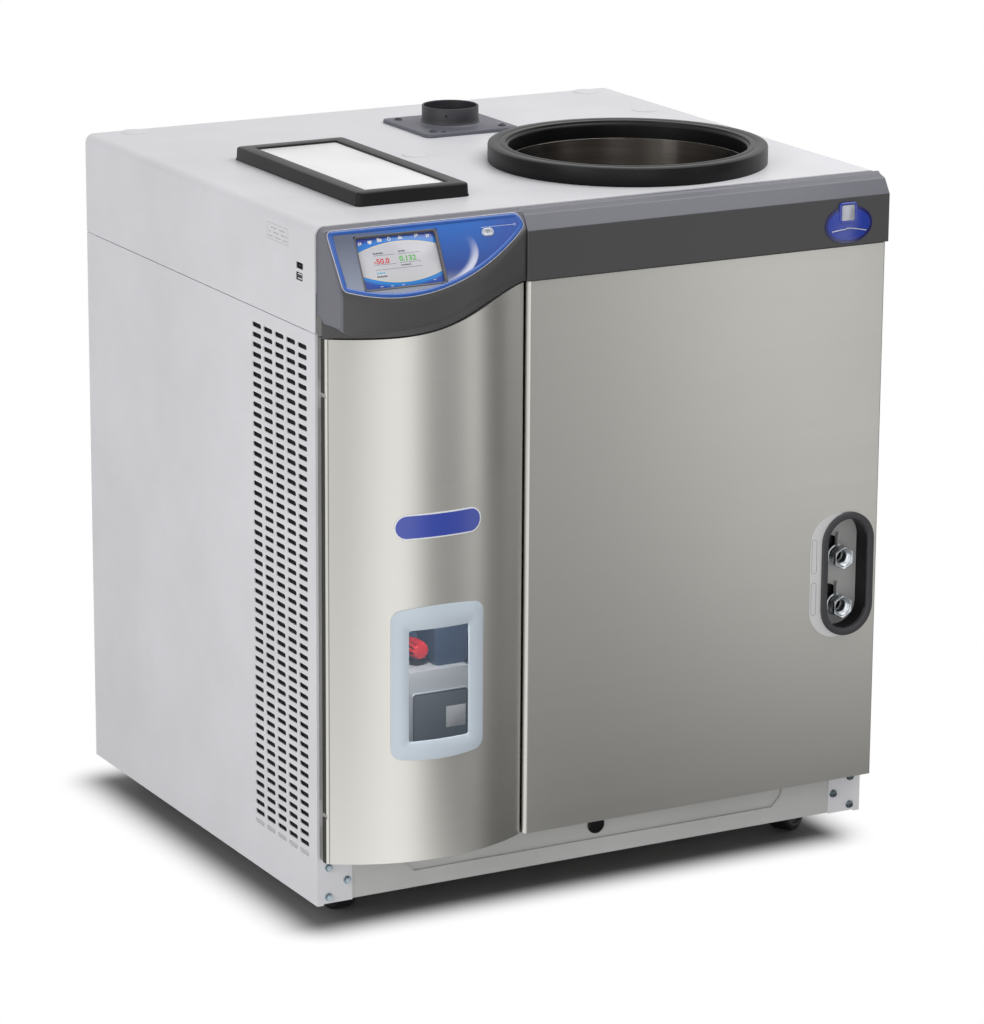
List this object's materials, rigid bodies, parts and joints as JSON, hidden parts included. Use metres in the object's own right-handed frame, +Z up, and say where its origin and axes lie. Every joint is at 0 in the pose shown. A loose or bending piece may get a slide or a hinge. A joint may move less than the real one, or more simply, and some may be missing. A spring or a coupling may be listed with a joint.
{
  "type": "freeze dryer",
  "caption": "Floor-standing freeze dryer: cold collector open at the top, tilted control pod, bowed pump door with window, flat drain panel and swivel casters.",
  "frame": {"origin": "middle of the footprint, on the floor under the casters", "axes": "+Z up, -Y towards the operator in front, +X to the right seen from the front"},
  "size_m": [0.802, 0.7505, 0.9375],
  "materials": {
    "white_coat": "white powder coat, semi-matt",
    "grey_coat": "light grey powder coat, satin",
    "stainless": "brushed stainless, vertical grain",
    "bright_steel": "zinc-plated steel, satin",
    "dark_plastic": "dark grey moulded plastic, fine texture",
    "black_plastic": "black moulded plastic",
    "blue_overlay": "glossy blue overlay",
    "silver_plastic": "silver-coated plastic",
    "screen": "lit touch screen",
    "frosted": "frosted window border",
    "window": "clear window",
    "rubber": "black rubber",
    "white_plate": "white plastic plate",
    "foam": "cream insulation foam",
    "fins": "aluminium fins",
    "motor_blue": "dark blue-grey paint, satin",
    "black_paint": "black paint, satin",
    "pump_grey": "light grey paint",
    "red_knob": "red ribbed plastic",
    "label": "light grey label, satin",
    "tyre": "black caster tyre"
  },
  "bodies": {
    "cabinet": {"chassis": "grey_coat", "left_side_panel": "white_coat", "right_side_panel": "white_coat", "rear_panel": "white_coat", "top_cover": "white_coat", "toe_plug": "black_plastic", "panel_screws": "bright_steel", "fascia_pod": "dark_plastic", "fascia_band": "dark_plastic", "control_overlay": "blue_overlay", "screen_frame": "silver_plastic", "touchscreen": "screen", "panel_badge": "blue_overlay", "hinge_arms": "bright_steel", "hinge_pins": "bright_steel", "door_catch": "black_plastic", "front_panel": "stainless", "drain_pocket": "black_plastic", "drain_trim": "dark_plastic", "drain_label_plate": "label", "drain_bracket": "grey_coat", "drain_couplings": "bright_steel", "collector_chamber": "stainless", "chamber_insulation": "foam", "collector_coil": "stainless", "collector_gasket": "rubber", "port_spigot": "dark_plastic", "tray_gasket": "rubber", "tray_plate": "white_plate", "hole_plugs": "white_coat", "usb_sockets": "black_plastic", "pump_case": "pump_grey", "pump_motor": "motor_blue", "pump_shelf": "grey_coat", "vacuum_hose": "rubber", "compressor": "black_paint", "condenser": "fins", "fan_motor": "black_paint", "power_inlet": "black_plastic", "caster_plates": "bright_steel"},
    "door": {"door_skin": "stainless", "door_frame": "grey_coat", "window_frame": "frosted", "window_pane": "window", "door_badge": "blue_overlay"},
    "power_button": {"power_button": "silver_plastic"},
    "ballast_knob": {"ballast_knob": "red_knob"},
    "condenser_fan": {"condenser_fan": "black_plastic"},
    "swivel_fl": {"caster_fork_fl": "bright_steel", "caster_axle_fl": "bright_steel"},
    "wheel_fl": {"caster_wheel_fl": "tyre"},
    "swivel_fr": {"caster_fork_fr": "bright_steel", "caster_axle_fr": "bright_steel"},
    "wheel_fr": {"caster_wheel_fr": "tyre"},
    "swivel_rl": {"caster_fork_rl": "bright_steel", "caster_axle_rl": "bright_steel"},
    "wheel_rl": {"caster_wheel_rl": "tyre"},
    "swivel_rr": {"caster_fork_rr": "bright_steel", "caster_axle_rr": "bright_steel"},
    "wheel_rr": {"caster_wheel_rr": "tyre"}
  },
  "joints": [
    {"name": "door_hinge", "type": "hinge", "parent": "cabinet", "child": "door", "pos_m": [-0.388, -0.32175, 0.445], "axis": [0, 0, -1], "range_deg": [0, 100]},
    {"name": "power_press", "type": "slide", "parent": "cabinet", "child": "power_button", "axis": [0, 0.8849, -0.4657], "range_m": [0, 0.0012], "stiffness_N_per_m": 500},
    {"name": "ballast_turn", "type": "hinge", "parent": "cabinet", "child": "ballast_knob", "pos_m": [-0.216, -0.22275, 0.331], "axis": [0, -1, 0], "range_deg": [0, 90]},
    {"name": "fan_spin", "type": "hinge", "parent": "cabinet", "child": "condenser_fan", "pos_m": [0.089, 0.31125, 0.265], "axis": [0, -1, 0], "continuous": true},
    {"name": "swivel_fl", "type": "hinge", "parent": "cabinet", "child": "swivel_fl", "pos_m": [-0.325, -0.23675, 0.085], "axis": [0, 0, 1], "continuous": true},
    {"name": "roll_fl", "type": "hinge", "parent": "swivel_fl", "child": "wheel_fl", "pos_m": [-0.325, -0.21175, 0.038], "axis": [1, 0, 0], "continuous": true},
    {"name": "swivel_fr", "type": "hinge", "parent": "cabinet", "child": "swivel_fr", "pos_m": [0.325, -0.23675, 0.085], "axis": [0, 0, 1], "continuous": true},
    {"name": "roll_fr", "type": "hinge", "parent": "swivel_fr", "child": "wheel_fr", "pos_m": [0.34548, -0.22241, 0.038], "axis": [0.5736, -0.8192, 0], "continuous": true},
    {"name": "swivel_rl", "type": "hinge", "parent": "cabinet", "child": "swivel_rl", "pos_m": [-0.325, 0.29525, 0.085], "axis": [0, 0, 1], "continuous": true},
    {"name": "roll_rl", "type": "hinge", "parent": "swivel_rl", "child": "wheel_rl", "pos_m": [-0.325, 0.32025, 0.038], "axis": [1, 0, 0], "continuous": true},
    {"name": "swivel_rr", "type": "hinge", "parent": "cabinet", "child": "swivel_rr", "pos_m": [0.325, 0.29525, 0.085], "axis": [0, 0, 1], "continuous": true},
    {"name": "roll_rr", "type": "hinge", "parent": "swivel_rr", "child": "wheel_rr", "pos_m": [0.325, 0.32025, 0.038], "axis": [1, 0, 0], "continuous": true}
  ]
}
